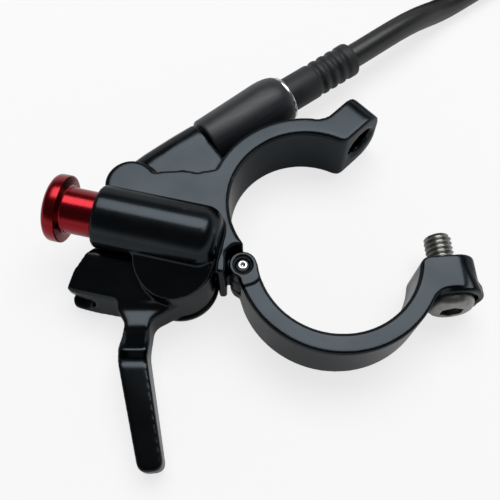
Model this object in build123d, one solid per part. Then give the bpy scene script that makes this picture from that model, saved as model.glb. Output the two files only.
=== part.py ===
from build123d import *
import math
import os

# Dropper post remote lever. Millimetres and degrees, +Z up.
# The bar's axis is Z. The far face of the bar clamp is the plane z = 0, on which the part lies.
# Angles about the bar run from +X towards +Y.

# Bar clamp
bar_d = 22.2
clamp_width = 10.0
ring_wall = 2.9
bore_chamfer = 0.4
ear_angle = 44.0          # direction in which the two ears stand out from the bar
ear_plane = 2.9           # height of the fixed ear's mating face over the bar's centre line
clamp_gap = 4.0           # between the ears with the strap closed on the bar
ear_thickness = 4.9
ear_tip = 3.7             # from the bolt's axis to the end of an ear
ear_corner = 1.2
ear_round = 3.2
ear_blend = 3.0
ear_lip = 1.6
edge_round = 0.3          # along the faces of the strap
bolt_standoff = 1.3       # from the ring's outer wall to the bolt's axis

# Strap hinge
knuckle_r = 1.95
hinge_angle = 226.0
strap_open = 40.0         # how far the strap stands open at rest
pin_d = 2.0
tongue_width = 3.8
knuckle_inset = 0.5       # from each face of the clamp to the strap's knuckles
hinge_relief = 0.95
hinge_land = 0.1          # from the bar's bore to the knuckles
pin_sink = 0.2            # from the knuckle's face to the pin's domed end
finger_w = 1.2
finger_len = 4.2

# Clamp bolt with a round head
bolt_d = 4.0
bolt_reach = 5.9          # past the strap's mating face
bolt_head_d = 6.8
bolt_head_h = 2.3
bolt_hex = 3.0
bolt_hex_depth = 1.5
spotface_depth = 0.5
ear_hole_clear = 0.35     # lets the tip of the bolt swing in

# Lever pivot
pivot_x = -18.3
pivot_y = -9.1
hub_r = 5.3
hub_bottom = 1.2
cheek_bottom = 9.5
cheek_top = 11.8
cheek_r = 5.6
shoulder_d = 5.0
pivot_thread_d = 3.0
pivot_thread_len = 1.7
pivot_head_r = 5.6
pivot_head_h = 0.9
pivot_hex = 2.5
pivot_hex_depth = 1.8
bush_wall = 0.45
bush_flange_r = 4.2
bush_flange_t = 0.5
bush_len = 3.6

# Lever blade
blade_bottom = 0.9
arm_top = 6.75
arm_draft = 1.0           # by which the arm's walls lean in from bottom to top
neck_top = 6.3
saddle_top = 4.75
pad_top = 6.45
pad_tip_top = 5.4
blade_edge = 0.6

# Return spring, coiled in the foot of the hub
return_wire = 0.5
return_coil_r = 4.1
return_pitch = 0.62
return_turns = 3
return_pocket = 0.5       # room on each side of the coil
return_leg = 0.8
lever_travel = 20.0

# Button and its housing
button_offset = 3.45      # from the pivot's axis to the button's axis
button_slope = -12.8      # heading of the button's axis
button_z = 11.5
housing_r = 4.4
housing_mouth = -11.4     # along the button's axis, from the point nearest the pivot
housing_end = 5.5
housing_round = 2.4
flange_r = 4.7
flange_t = 2.1
flange_edge = 0.4
button_shaft_r = 3.2
button_show = 4.6         # shaft to be seen between the flange and the housing
button_travel = 2.5
button_engage = 3.0       # shaft inside the housing at rest
button_hollow_r = 2.3
button_floor = 1.6
stem_d = 2.6
stem_neck_d = 1.5
stem_screw_d = 2.0
stop_pin_d = 1.2
stop_pin_at = 0.5         # along the button's axis
stem_nose = 1.2
spring_wire = 0.5
spring_turns = 6

# Cable line
cable_offset = 18.85      # from the bar's axis to the cable's axis
cable_heading = 35.6
cable_z = 4.9
boss_start = -17.0
boss_start_r = 1.75
sleeve_start = -4.8       # along the cable's axis, from the point nearest the bar
sleeve_len = 14.6
sleeve_base_r = 3.9
sleeve_wall = 0.9         # of the sleeve over the bright band, at its widest
sleeve_shoulder = 2.0
boss_end_r = 3.6
band_wall = 0.75          # of the bright band, over the boot
band_t = 0.5
screw_d = 4.4
screw_reach = 3.6
screw_grip = 5.0
ferrule_wall = 0.35
boot_wall = 0.8
boot_len = 14.8
boot_inside = 0.9
rib_count = 4
rib_pitch = 1.7
rib_depth = 0.28
housing_d = 4.0
wire_d = 1.1
wire_hole_d = 1.7

# Cable guide in the lobe at the end of the plate
lobe_x = -25.2
lobe_y = 3.0
lobe_r = 3.7
lobe_bottom = 1.5
guide_corner = -19.5      # where the wire would turn if it turned sharply, along the cable's line
guide_bend = 2.6
guide_in = 7.0
guide_out = 3.6
guide_mouth = 3.0         # by which the liner's bore runs out past the lobe
liner_wall = 0.35
nipple_x = -31.2
nipple_y = -9.9
nipple_z = 3.9
nipple_d = 4.0
nipple_len = 4.4
nipple_pocket = 4.2
wire_slot = 6.0           # from the head's middle, each way along the wire

# Plate and webs
plate_bottom = 7.1
clamp_face = clamp_width
web_bottom = 1.4
web_top = 8.3
web_reach = 1.5           # beyond the cable's line, at the end of the boss

# Spare cable, put away in a coil
coil_radii = (28.0, 24.0, 20.0, 16.0)
coil_layers = 2
coil_slack = 0.15
coil_round = 1.4
coil_lead = 16.0
tail_run = 12.0
tail_drop = 14.0
tail_end = 34.0
tail_z = 2.5
end_ferrule_len = 8.0
end_ferrule_r = 2.5
end_ferrule_cover = 6.0
tail_wire_len = 14.0
tip_r = 0.9
tip_len = 4.0

# Fits and clearances
running_fit = 0.05
seat_fit = 0.03
part_gap = 0.3

# Route of the cable: along the cable's line, to its side, and height of the middle
cord_route = [(2.6, 0.0, 4.9), (24.0, 0.0, 4.9), (37.0, 0.3, 4.85), (45.5, 0.6, 2.05),
              (51.5, 0.6, 2.05)]

# Worked out from the sizes above
boot_r = housing_d / 2 + boot_wall
band_r = boot_r + running_fit + band_wall
sleeve_top_r = band_r + sleeve_wall
bore_r = bar_d / 2
ring_r = bore_r + ring_wall
mid_z = clamp_width / 2
hinge_r = bore_r + knuckle_r + hinge_land
hinge = Vector(hinge_r * math.cos(math.radians(hinge_angle)), hinge_r * math.sin(math.radians(hinge_angle)))
ear_dir = Vector(math.cos(math.radians(ear_angle)), math.sin(math.radians(ear_angle)))
bolt_dir = Vector(-ear_dir.Y, ear_dir.X)
bolt_offset = ring_r + bolt_standoff
strap_plane = ear_plane - clamp_gap
hinge_up = hinge.dot(bolt_dir)
relief_r = knuckle_r + hinge_relief
pivot = Vector(pivot_x, pivot_y)
button_dir = Vector(math.cos(math.radians(button_slope)), math.sin(math.radians(button_slope)))
button_side = Vector(-button_dir.Y, button_dir.X)
button_foot = pivot + button_side * button_offset
shaft_end = housing_mouth + button_engage
bore_floor = shaft_end + button_travel + part_gap
flange_back = housing_mouth - button_show
cable_dir = Vector(math.cos(math.radians(cable_heading)), math.sin(math.radians(cable_heading)))
cable_side = Vector(-cable_dir.Y, cable_dir.X)
cable_foot = cable_side * cable_offset
sleeve_end = sleeve_start + sleeve_len
boss_end = sleeve_start - part_gap
boot_start = sleeve_end - boot_inside
hub_top = cheek_bottom - running_fit
coil_centre_along = cord_route[-1][0] + coil_lead
coil_in_r = coil_radii[-1] - housing_d / 2 - coil_slack
coil_out_r = coil_radii[0] + housing_d / 2 + coil_slack


def ear_point(out, up, z=0.0):
    """A point given along the ears and across their mating faces, clamp closed."""
    place = ear_dir * out + bolt_dir * up
    return Vector(place.X, place.Y, z)


def cable_point(along, side=0.0, z=cable_z):
    """A point on the cable's line, or beside it."""
    place = cable_foot + cable_dir * along + cable_side * side
    return Vector(place.X, place.Y, z)


def button_frame():
    """Frame whose Z runs along the button's axis into the housing."""
    return Plane((button_foot.X, button_foot.Y, button_z), x_dir=(0, 0, 1),
                 z_dir=(button_dir.X, button_dir.Y, 0))


def cable_frame():
    """Frame whose Z runs along the cable's line, outwards."""
    return Plane(cable_point(0), x_dir=(0, 0, 1), z_dir=(cable_dir.X, cable_dir.Y, 0))


def bolt_frame():
    """Frame whose Z runs along the clamp bolt from its head, clamp closed."""
    return Plane(ear_point(bolt_offset, 0, mid_z), x_dir=(0, 0, 1), z_dir=(bolt_dir.X, bolt_dir.Y, 0))


def turned(*corners):
    """Solid turned about Z from (radius, height) corners; a third number rounds the corner."""
    points = [(corner[0], 0, corner[1]) for corner in corners]
    rounds = [corner[2] if len(corner) > 2 else 0 for corner in corners]
    return revolve(make_face(FilletPolyline(*points, radius=rounds, close=True)), Axis.Z)


def outline(*corners):
    """Flat face from (x, y) corners; a third number rounds the corner."""
    points = [(corner[0], corner[1]) for corner in corners]
    rounds = [corner[2] if len(corner) > 2 else 0 for corner in corners]
    return make_face(FilletPolyline(*points, radius=rounds, close=True))


def rod(radius, bottom, top):
    """Upright cylinder between two heights."""
    return Pos(0, 0, bottom) * Cylinder(radius, top - bottom, align=(Align.CENTER, Align.CENTER, Align.MIN))


def tube(outer, inner, bottom, top):
    """Upright tube between two heights."""
    return rod(outer, bottom, top) - rod(inner, bottom - 1, top + 1)


def slab(face, bottom, top):
    """Flat shape given a thickness between two heights."""
    return Pos(0, 0, bottom) * extrude(face, top - bottom)


def rounded_corner(face, point, radius):
    """The face with its corner nearest the point rounded."""
    corner = face.vertices().sort_by_distance(Vector(point.X, point.Y, 0))[0]
    return fillet(corner, radius)


def level_edges(shape, height):
    """Edges that lie flat at one height."""
    return shape.edges().filter_by_position(Axis.Z, height - 1e-4, height + 1e-4)


def eased(shape):
    """The strap with the edges of its two faces rounded."""
    return fillet(level_edges(shape, 0) + level_edges(shape, clamp_width), edge_round)


def hex_socket(across, depth):
    """Hexagonal recess with its mouth at z = 0."""
    return Pos(0, 0, -1) * extrude(RegularPolygon(across / 2, 6, major_radius=False), depth + 1)


def at_pivot(shape):
    """Moves a shape from the origin to the lever's pivot."""
    return Pos(pivot.X, pivot.Y, 0) * shape


def at_hinge(shape):
    """Moves a shape from the origin to the strap's hinge."""
    return Pos(hinge.X, hinge.Y, 0) * shape


def opened(shape):
    """Swings a part of the strap from its closed place to its place at rest."""
    return at_hinge(Rot(0, 0, -strap_open) * Pos(-hinge.X, -hinge.Y, 0) * shape)


def ring_half(ear_up, hinge_side_up, side):
    """Half of the clamp's ring, beyond one line at the ears and one at the hinge."""
    reach = 2 * ring_r
    keep = outline(*[(p.X, p.Y) for p in (ear_point(reach, ear_up), ear_point(0, ear_up),
                                          ear_point(0, hinge_side_up), ear_point(-reach, hinge_side_up),
                                          ear_point(-reach, side * reach), ear_point(reach, side * reach))])
    return (Circle(ring_r) - Circle(bore_r)) & keep


def clamp_outline(ear_up, hinge_side_up, side):
    """Ring half and ear in one outline, with the blends between them."""
    far = ear_up + side * ear_thickness
    tip = bolt_offset + ear_tip
    ear = outline(*[(p.X, p.Y) for p in (ear_point(bore_r - 1, ear_up), ear_point(tip, ear_up),
                                         ear_point(tip, far), ear_point(bore_r - 1, far))])
    face = (ring_half(ear_up, hinge_side_up, side) + ear) - Circle(bore_r)
    face = rounded_corner(face, ear_point(tip, far), ear_corner)
    face = rounded_corner(face, ear_point(math.sqrt(ring_r ** 2 - far ** 2), far), ear_blend)
    return rounded_corner(face, ear_point(math.sqrt(bore_r ** 2 - ear_up ** 2), ear_up), ear_lip)


def clamp_envelope():
    """Room between the clamp's two faces, rounded at the tips of the ears."""
    tip = bolt_offset + ear_tip
    side_view = Plane((0, 0, 0), x_dir=(ear_dir.X, ear_dir.Y, 0), z_dir=(-bolt_dir.X, -bolt_dir.Y, 0))
    face = outline((-3 * ring_r, 0), (tip, 0, ear_round), (tip, clamp_width, ear_round),
                   (-3 * ring_r, clamp_width))
    return extrude(side_view * face, 3 * ring_r, both=True)


def bore_bevel():
    """Waste inside the chamfers at both ends of the bar's bore."""
    cone = turned((bore_r - 1, -1), (bore_r + bore_chamfer + 1, -1), (bore_r - 1, bore_chamfer + 1))
    return cone + Pos(0, 0, clamp_width) * Rot(180, 0, 0) * cone


def fixed_half():
    """Ring half and ear that are one with the body, with the bolt's hole."""
    shape = slab(clamp_outline(ear_plane, hinge_up, 1), 0, clamp_width) & clamp_envelope()
    hole_r = bolt_d / 2 + ear_hole_clear
    hole = rod(hole_r, ear_plane - 1, ear_plane + ear_thickness + 1)
    mouth = turned((0, ear_plane - 0.01), (hole_r + 0.5, ear_plane - 0.01), (hole_r, ear_plane + 0.5),
                   (0, ear_plane + 0.5))
    return shape - bolt_frame() * (hole + mouth)


def body_outlines():
    """Plate, clamp web and cable web, seen along the bar."""
    plate = outline((-28.0, 1.0, 1.0), (-27.0, 4.6, 0.5), (-22.4, 4.7, 0.5), (-17.6, 5.1, 2.0),
                    (-13.4, 4.2, 1.5), (-11.3, 2.2), (-11.3, -3.0), (-12.8, -9.1),
                    (-18.3, -10.5), (-23.7, -9.1), (-26.6, -6.0, 1.0))
    clamp_web = outline((-10.5, 5.6), (-15.5, 4.8, 1.0), (-17.0, 1.0, 2.0), (-15.5, -4.0, 1.0),
                        (-12.7, -8.0), (-10.4, -7.8), (-11.6, -3.0), (-11.6, 2.0))
    outer = cable_point(boss_end, web_reach)
    inner = cable_point(boss_end, ring_r - cable_offset - 1.2)
    cable_web = outline((-25.0, 2.0), (-24.0, 6.2), (outer.X, outer.Y), (inner.X, inner.Y), (-12.5, 4.0))
    return plate, clamp_web, cable_web


def cable_boss():
    """Cone that carries the adjuster, turned about the cable's line."""
    return cable_frame() * turned((0, boss_start), (boss_start_r, boss_start),
                                  (boss_end_r, boss_end, 0.4), (0, boss_end))


def button_barrel():
    """Outside of the button's housing."""
    return button_frame() * turned((0, housing_mouth), (housing_r, housing_mouth, 0.4),
                                   (housing_r, housing_end, housing_round), (0, housing_end))


def hinge_tongue():
    """Middle knuckle of the hinge, one with the body."""
    reach = relief_r + 0.6
    stalk = outline((-knuckle_r, 0), (knuckle_r, 0), (knuckle_r, reach), (-knuckle_r, reach))
    face = at_hinge(Circle(knuckle_r) + Rot(0, 0, ear_angle) * stalk)
    return slab(face, mid_z - tongue_width / 2, mid_z + tongue_width / 2)


def stop_finger():
    """Finger between the hub and the hinge."""
    left = pivot_x + hub_r + part_gap
    right = left + finger_w
    low = pivot_y + 2.4 - finger_len
    return slab(outline((left, pivot_y + 2.4), (left, low, 0.4), (right, low, 0.4), (right, pivot_y + 2.4)),
                0, clamp_width)


def wire_corner():
    """Where the wire's two straight runs would meet."""
    return cable_point(guide_corner)


def wire_heading():
    """Direction of the wire from the guide to the lever's arm."""
    return (Vector(nipple_x, nipple_y, nipple_z) - wire_corner()).normalized()


def guide_path(entry, leave):
    """The wire's turn through the lobe, between a point before it and one after."""
    corner = wire_corner()
    return FilletPolyline(corner + wire_heading() * leave, corner,
                          cable_point(guide_corner + entry), radius=guide_bend)


def swept(radius, path):
    """Round bar along a path."""
    start = Plane(path @ 0, z_dir=path % 0)
    return sweep(start * Circle(radius), path=path)


def spring_coil(wire, mean_r, length, turns):
    """Turns of a spring, of wire with flattened sides, standing on z = 0."""
    helix = Helix(length / turns, length, mean_r)
    section = Plane(origin=helix @ 0, z_dir=helix % 0, x_dir=(1, 0, 0)) * RegularPolygon(wire / 2, 8)
    return sweep(section, path=helix)


def lever_body():
    """Body: fixed clamp half, plate, pivot cheek, button housing, cable boss and guide lobe."""
    plate, clamp_web, cable_web = body_outlines()
    body = fixed_half() + slab(plate, plate_bottom, clamp_face) + slab(clamp_web, 0, clamp_width)
    body += slab(cable_web, web_bottom, web_top)
    body += Pos(lobe_x, lobe_y, 0) * turned((0, lobe_bottom), (lobe_r, lobe_bottom, 0.5),
                                            (lobe_r, clamp_face, 0.5), (0, clamp_face))
    body += cable_boss()
    body += at_pivot(turned((0, plate_bottom), (cheek_r, plate_bottom), (cheek_r, cheek_top, 0.4), (0, cheek_top)))
    body += button_barrel()
    body -= bore_bevel()
    body -= at_hinge(rod(relief_r, -1, clamp_width + 1))
    body += hinge_tongue()
    body -= at_hinge(rod(pin_d / 2, -1, clamp_width + 1))
    body += stop_finger()
    body -= at_pivot(rod(hub_r + part_gap, -1, cheek_bottom))
    body -= at_pivot(rod(pivot_thread_d / 2 + seat_fit, 0, cheek_bottom + pivot_thread_len))
    body -= button_frame() * rod(button_shaft_r + running_fit, housing_mouth - 1, bore_floor)
    body -= button_frame() * rod(stem_d / 2 + running_fit, bore_floor - 1, stem_tip() + button_travel + part_gap)
    body -= stop_pin_place(seat_fit)
    body -= cable_frame() * rod(screw_d / 2 + running_fit, boss_end - screw_reach - part_gap, boss_end + 1)
    body -= cable_frame() * rod(wire_hole_d / 2, guide_corner + guide_in - 1, boss_end)
    body -= swept(wire_d / 2 + running_fit + liner_wall + seat_fit, guide_path(guide_in, guide_out + guide_mouth))
    return body


def stem_tip():
    """End of the button's stem at rest, along the button's axis."""
    return stop_pin_at + stop_pin_d / 2 + running_fit + stem_nose


def stop_pin_place(clearance=0.0):
    """Pin beside the stem's neck, pressed into the cheek from below."""
    side = stem_neck_d / 2 + running_fit + stop_pin_d / 2
    place = button_foot + button_dir * stop_pin_at + button_side * side
    top = button_z + stem_d / 2 + 0.6
    return Pos(place.X, place.Y, 0) * rod(stop_pin_d / 2 + clearance, cheek_bottom + running_fit - clearance,
                                          top + clearance)


def strap_outline():
    """Swinging half of the clamp, seen along the bar, closed."""
    return clamp_outline(strap_plane, hinge_up, -1)


def clamp_strap():
    """Swinging half of the clamp with its ear and fork, at rest."""
    ring = eased(slab(strap_outline(), 0, clamp_width) & clamp_envelope())
    ring -= bore_bevel()
    fork_top = clamp_width - knuckle_inset
    ring -= at_hinge(rod(relief_r + 0.4, -1, knuckle_inset) + rod(relief_r + 0.4, fork_top, clamp_width + 1))
    ring += at_hinge(rod(knuckle_r, knuckle_inset, fork_top))
    tongue_room = tongue_width / 2 + running_fit
    ring -= at_hinge(rod(knuckle_r + part_gap, mid_z - tongue_room, mid_z + tongue_room))
    ring -= at_hinge(rod(pin_d / 2 + running_fit, -1, clamp_width + 1))
    sink = turned((0, 0), (pin_d / 2 + 0.4, 0), (pin_d / 2 + running_fit, 0.4), (0, 0.4))
    ring -= at_hinge(Pos(0, 0, knuckle_inset) * sink + Pos(0, 0, fork_top) * Rot(180, 0, 0) * sink)
    seat = strap_plane - ear_thickness + spotface_depth
    ring -= bolt_frame() * (rod(bolt_d / 2 + 2 * running_fit, seat - 1, strap_plane + 1)
                            + rod(bolt_head_d / 2 + 0.25, seat - 3, seat))
    return opened(ring)


def hinge_pin():
    """Headless pin, pressed into the tongue, with domed and dimpled ends."""
    low = knuckle_inset + pin_sink
    high = clamp_width - knuckle_inset - pin_sink
    pin = turned((0, low), (pin_d / 2, low, 0.4), (pin_d / 2, high, 0.4), (0, high))
    dimple = turned((0, high - 0.25), (0.3, high), (0.3, high + 1), (0, high + 1))
    return at_hinge(pin - dimple)


def clamp_bolt():
    """Clamp bolt with a low round head and a hexagonal socket, at rest."""
    seat = strap_plane - ear_thickness + spotface_depth
    end = strap_plane + bolt_reach
    head = seat - bolt_head_h
    bolt = turned((0, head), (bolt_head_d / 2 - 1.0, head, 1.0), (bolt_head_d / 2, head + 1.4, 0.6),
                  (bolt_head_d / 2, seat), (bolt_d / 2, seat), (bolt_d / 2, end - 0.5), (bolt_d / 2 - 0.5, end),
                  (0, end))
    bolt -= Pos(0, 0, head) * hex_socket(bolt_hex, bolt_hex_depth)
    return opened(bolt_frame() * bolt)


def arm_section(z, lean):
    """The arm cut level, its walls moved in by a lean."""
    return Pos(0, 0, z) * outline((-22.0, -5.4 - 0.3 * lean), (-31.7, -6.6 - 0.3 * lean, 1.6),
                                  (-34.1 + 0.6 * lean, -12.7 + 0.5 * lean, 1.0), (-30.5, -13.7 + lean, 3.0),
                                  (-26.3 - 0.5 * lean, -14.5 + lean, 1.0), (-22.0, -14.7 + 0.8 * lean))


def arm():
    """Short arm of the lever, which pulls the wire, with draft on its walls."""
    shape = loft([arm_section(blade_bottom, 0.0), arm_section(arm_top, arm_draft)])
    return fillet(level_edges(shape, arm_top), blade_edge)


def paddle():
    """Neck and thumb paddle, cut from a plan and a side view."""
    plan = outline((-21.5, -11.0), (-26.4, -12.6), (-26.5, -14.8, 0.9), (-25.0, -16.9, 1.6), (-26.3, -19.6, 3.0),
                   (-22.35, -36.0, 1.3), (-19.05, -35.6, 1.1), (-22.05, -20.4, 6.0), (-21.7, -16.3, 1.8),
                   (-19.3, -15.0, 1.5), (-15.2, -13.2), (-16.0, -11.0))
    side = outline((-10.0, blade_bottom), (-10.0, 6.9), (-13.6, 6.9, 0.8), (-14.8, neck_top, 0.8),
                   (-17.6, neck_top, 0.5), (-18.7, saddle_top, 0.9), (-20.1, saddle_top, 1.2),
                   (-21.9, pad_top, 2.2), (-35.0, pad_tip_top, 2.5), (-36.6, 3.4, 1.2),
                   (-35.6, blade_bottom, 1.2))
    side_view = Plane((0, 0, 0), x_dir=(0, 1, 0), z_dir=(1, 0, 0))
    return slab(plan, blade_bottom, 8) & extrude(side_view * side, 40, both=True)


def lever_blade():
    """Lever: hub, arm with the cable head's pocket, neck and paddle."""
    blade = at_pivot(rod(hub_r, hub_bottom, hub_top)) + arm() + paddle()
    bush_r = shoulder_d / 2 + running_fit + bush_wall
    blade -= at_pivot(rod(bush_r + seat_fit, 0, cheek_bottom))
    blade -= at_pivot(rod(bush_flange_r + seat_fit, hub_top - bush_flange_t, cheek_bottom))
    inner = return_coil_r - return_pocket
    outer = return_coil_r + return_pocket
    pocket_top = hub_bottom + return_pitch * return_turns + return_wire + 0.2
    blade -= at_pivot(tube(outer, inner, 0, pocket_top))
    leg_room = at_pivot(tube(outer - 0.1, inner + 0.1, 0, pocket_top + return_leg))
    reach = math.radians(lever_travel + 10)
    wide = hub_r * 1.5
    wedge = at_pivot(outline((0, 0), (wide * math.cos(reach), -wide * math.sin(reach)), (wide, 1.2)))
    blade -= leg_room & slab(wedge, 0, pocket_top + return_leg)
    blade -= swept(wire_hole_d / 2, Line(nipple_at(0), nipple_at(-wire_slot)))
    blade -= swept(nipple_pocket / 2, Line(nipple_at(-nipple_len / 2), nipple_at(wire_slot)))
    return blade


def nipple_at(along):
    """Point on the cable head's axis, measured from its middle away from the guide."""
    return Vector(nipple_x, nipple_y, nipple_z) + wire_heading() * along


def cable_nipple():
    """Cylindrical head of the inner wire, seated in the arm."""
    return swept(nipple_d / 2, Line(nipple_at(running_fit - nipple_len / 2), nipple_at(nipple_len / 2)))


def inner_wire():
    """Bare wire from its head through the guide to the mouth of the cable housing."""
    path = FilletPolyline(nipple_at(-nipple_len / 2), wire_corner(), cable_point(cord_route[0][0]),
                          radius=guide_bend)
    return swept(wire_d / 2, path)


def cable_guide():
    """Liner that turns the wire inside the lobe."""
    path = guide_path(guide_in - part_gap, guide_out)
    return swept(wire_d / 2 + running_fit + liner_wall, path) - swept(wire_d / 2 + running_fit, path)


def pivot_bolt():
    """Shoulder bolt with a wide flat head, screwed into the cheek from below."""
    top = cheek_bottom + pivot_thread_len - 0.2
    bolt = turned((0, 0), (pivot_head_r, 0, 0.3), (pivot_head_r, pivot_head_h, 0.2), (shoulder_d / 2, pivot_head_h),
                  (shoulder_d / 2, cheek_bottom), (pivot_thread_d / 2, cheek_bottom), (pivot_thread_d / 2, top),
                  (0, top))
    bolt -= hex_socket(pivot_hex, pivot_hex_depth)
    bolt -= Pos(return_coil_r, 0, 0) * rod(return_wire / 2 + running_fit, 0.3, 2)
    return at_pivot(bolt)


def pivot_bushing_upper():
    """Flanged sleeve under the cheek."""
    inner = shoulder_d / 2 + running_fit
    outer = inner + bush_wall
    low = hub_top - bush_len
    return at_pivot(turned((inner, low), (outer, low), (outer, hub_top - bush_flange_t + seat_fit),
                           (bush_flange_r, hub_top - bush_flange_t + seat_fit), (bush_flange_r, hub_top),
                           (inner, hub_top)))


def pivot_bushing_lower():
    """Plain sleeve over the bolt's head."""
    inner = shoulder_d / 2 + running_fit
    low = pivot_head_h + running_fit
    return at_pivot(tube(inner + bush_wall, inner, low, low + bush_len))


def return_spring():
    """Torsion spring with one leg in the bolt's head and one in the hub."""
    start = pivot_head_h + return_wire / 2 + running_fit
    top = start + return_pitch * return_turns
    coil = Pos(0, 0, start) * spring_coil(return_wire, return_coil_r, top - start, return_turns)
    cover = return_wire * 0.6
    for bottom, end in ((0.4, start + cover), (top - cover, top + return_leg)):
        coil += Pos(return_coil_r, 0, 0) * rod(cover, bottom, end)
    return at_pivot(coil)


def release_button():
    """Button with a flanged head and a hollow shaft."""
    inner_floor = flange_back + button_floor
    button = turned((0, flange_back - flange_t - 0.25, 0), (flange_r - 0.9, flange_back - flange_t, 0.6),
                    (flange_r, flange_back - flange_t + flange_edge, 0.2), (flange_r, flange_back, 0.25),
                    (button_shaft_r, flange_back, 0.3), (button_shaft_r, shaft_end, 0.2),
                    (button_hollow_r, shaft_end), (button_hollow_r, inner_floor), (0, inner_floor))
    button -= rod(stem_screw_d / 2 + seat_fit, flange_back - 0.6, inner_floor + 1)
    return button_frame() * button


def button_stem():
    """Stem screwed into the button, with the neck that the stop pin keeps."""
    inner_floor = flange_back + button_floor
    neck_to = stop_pin_at + stop_pin_d / 2 + running_fit
    neck_from = stop_pin_at - stop_pin_d / 2 - button_travel - running_fit
    tip = stem_tip()
    return button_frame() * turned((0, flange_back - 0.5), (stem_screw_d / 2, flange_back - 0.5),
                                   (stem_screw_d / 2, inner_floor), (stem_d / 2, inner_floor),
                                   (stem_d / 2, neck_from), (stem_neck_d / 2, neck_from),
                                   (stem_neck_d / 2, neck_to), (stem_d / 2, neck_to),
                                   (stem_d / 2, tip - 0.4), (stem_d / 2 - 0.4, tip), (0, tip))


def button_spring():
    """Compression spring round the stem, inside the button."""
    start = flange_back + button_floor + spring_wire / 2 + running_fit
    end = bore_floor - spring_wire / 2 - running_fit
    mean_r = (button_hollow_r + stem_d / 2) / 2
    return button_frame() * Pos(0, 0, start) * spring_coil(spring_wire, mean_r, end - start, spring_turns)


def stop_pin():
    """Dowel that keeps the button in its housing."""
    return stop_pin_place()


def barrel_adjuster():
    """Tapered sleeve of the cable adjuster."""
    bore = screw_d / 2 + seat_fit
    mouth = housing_d / 2 + running_fit + ferrule_wall + running_fit
    wide = boot_r + running_fit
    step = cord_route[0][0] - 1.2
    top = boot_start - part_gap
    return cable_frame() * turned((bore, sleeve_start), (sleeve_base_r, sleeve_start, 0.35),
                                  (sleeve_top_r, sleeve_end - 2.6, 3.0),
                                  (band_r + 0.25, sleeve_end - 0.1, 0.5), (band_r, sleeve_end),
                                  (wide, sleeve_end), (wide, top), (mouth, top), (mouth, step), (bore, step))


def adjuster_ring():
    """Bright band pressed on the sleeve's outer end."""
    return cable_frame() * turned((boot_r + running_fit, sleeve_end), (band_r, sleeve_end),
                                  (band_r, sleeve_end + band_t, 0.2), (boot_r + running_fit, sleeve_end + band_t))


def adjuster_screw():
    """Hollow screw between the sleeve and the boss."""
    low = boss_end - screw_reach
    return cable_frame() * tube(screw_d / 2, wire_hole_d / 2, low, sleeve_start + screw_grip)


def housing_ferrule():
    """Cap on the end of the cable housing, inside the sleeve."""
    inner = housing_d / 2 + running_fit
    seat = cord_route[0][0]
    low = seat - 1.0
    high = boot_start - part_gap
    return cable_frame() * turned((wire_hole_d / 2, low), (inner + ferrule_wall, low),
                                  (inner + ferrule_wall, high), (inner, high),
                                  (inner, seat), (wire_hole_d / 2, seat))


def ferrule_boot():
    """Soft boot over the housing, ribbed towards its outer end."""
    inner = housing_d / 2 + running_fit
    low = boot_start
    high = low + boot_len
    corners = [(inner, low), (boot_r, low)]
    first = high - 1.2 - rib_pitch * rib_count
    for rib in range(rib_count):
        at = first + rib * rib_pitch
        corners += [(boot_r, at, 0.25), (boot_r - rib_depth, at + rib_pitch * 0.3, 0.25),
                    (boot_r - rib_depth, at + rib_pitch * 0.5, 0.25), (boot_r, at + rib_pitch * 0.8, 0.25)]
    corners += [(boot_r, high, boot_wall * 0.6), (inner, high)]
    return cable_frame() * turned(*corners)


def cord_corners():
    """Corners of the cable's route."""
    return [cable_point(along, side, z) for along, side, z in cord_route]


def arc_radii(points):
    """Radius at each inner corner, as large as the shorter run beside it allows."""
    radii = []
    for before, corner, after in zip(points, points[1:], points[2:]):
        run_in = corner - before
        run_out = after - corner
        turn = math.radians(run_in.get_angle(run_out))
        radii.append(0.45 * min(run_in.length, run_out.length) / math.tan(turn / 2))
    return radii


def cable_housing():
    """Cable housing from the adjuster to the coil."""
    points = cord_corners()
    return swept(housing_d / 2, FilletPolyline(*points, radius=arc_radii(points)))


def coil_centre():
    """Middle of the coil, on the left of the incoming cable."""
    return cable_point(coil_centre_along, cord_route[-1][1] + coil_radii[0], 0)


def tail_corners():
    """Corners of the cable's last run, which leaves the coil and comes down to the ground."""
    centre = coil_centre()
    top = housing_d * (coil_layers - 0.5) - coil_slack
    start = centre + Vector(cable_side.X, cable_side.Y, 0) * coil_radii[0]
    back = Vector(-cable_dir.X, -cable_dir.Y, 0)
    return [start + back * run + Vector(0, 0, height) for run, height in
            ((0, top), (tail_run, top), (tail_run + tail_drop, tail_z), (tail_end, tail_z))]


def cable_coil():
    """Coil of spare cable with the straight ends that lead in and out of it."""
    centre = coil_centre()
    height = housing_d * coil_layers
    ring = Pos(centre.X, centre.Y, 0) * turned((coil_in_r, 0, coil_round), (coil_out_r, 0, coil_round),
                                               (coil_out_r, height, coil_round), (coil_in_r, height, coil_round))
    lead = swept(housing_d / 2, Line(cord_corners()[-1],
                                     cable_point(coil_centre_along, cord_route[-1][1], cord_route[-1][2])))
    points = tail_corners()
    tail = swept(housing_d / 2, FilletPolyline(*points, radius=arc_radii(points)))
    return ring + lead + tail


def tail_frame():
    """Frame at the cable's far end, its Z along the cable."""
    end = tail_corners()[-1]
    return Plane(end, x_dir=(0, 0, 1), z_dir=(-cable_dir.X, -cable_dir.Y, 0))


def end_ferrule():
    """Cap on the far end of the cable housing."""
    inner = housing_d / 2 + running_fit
    return tail_frame() * turned((inner, -end_ferrule_cover), (end_ferrule_r, -end_ferrule_cover, 0.2),
                                 (end_ferrule_r, end_ferrule_len - end_ferrule_cover, 0.5),
                                 (wire_d / 2 + running_fit, end_ferrule_len - end_ferrule_cover),
                                 (wire_d / 2 + running_fit, 0), (inner, 0))


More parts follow.
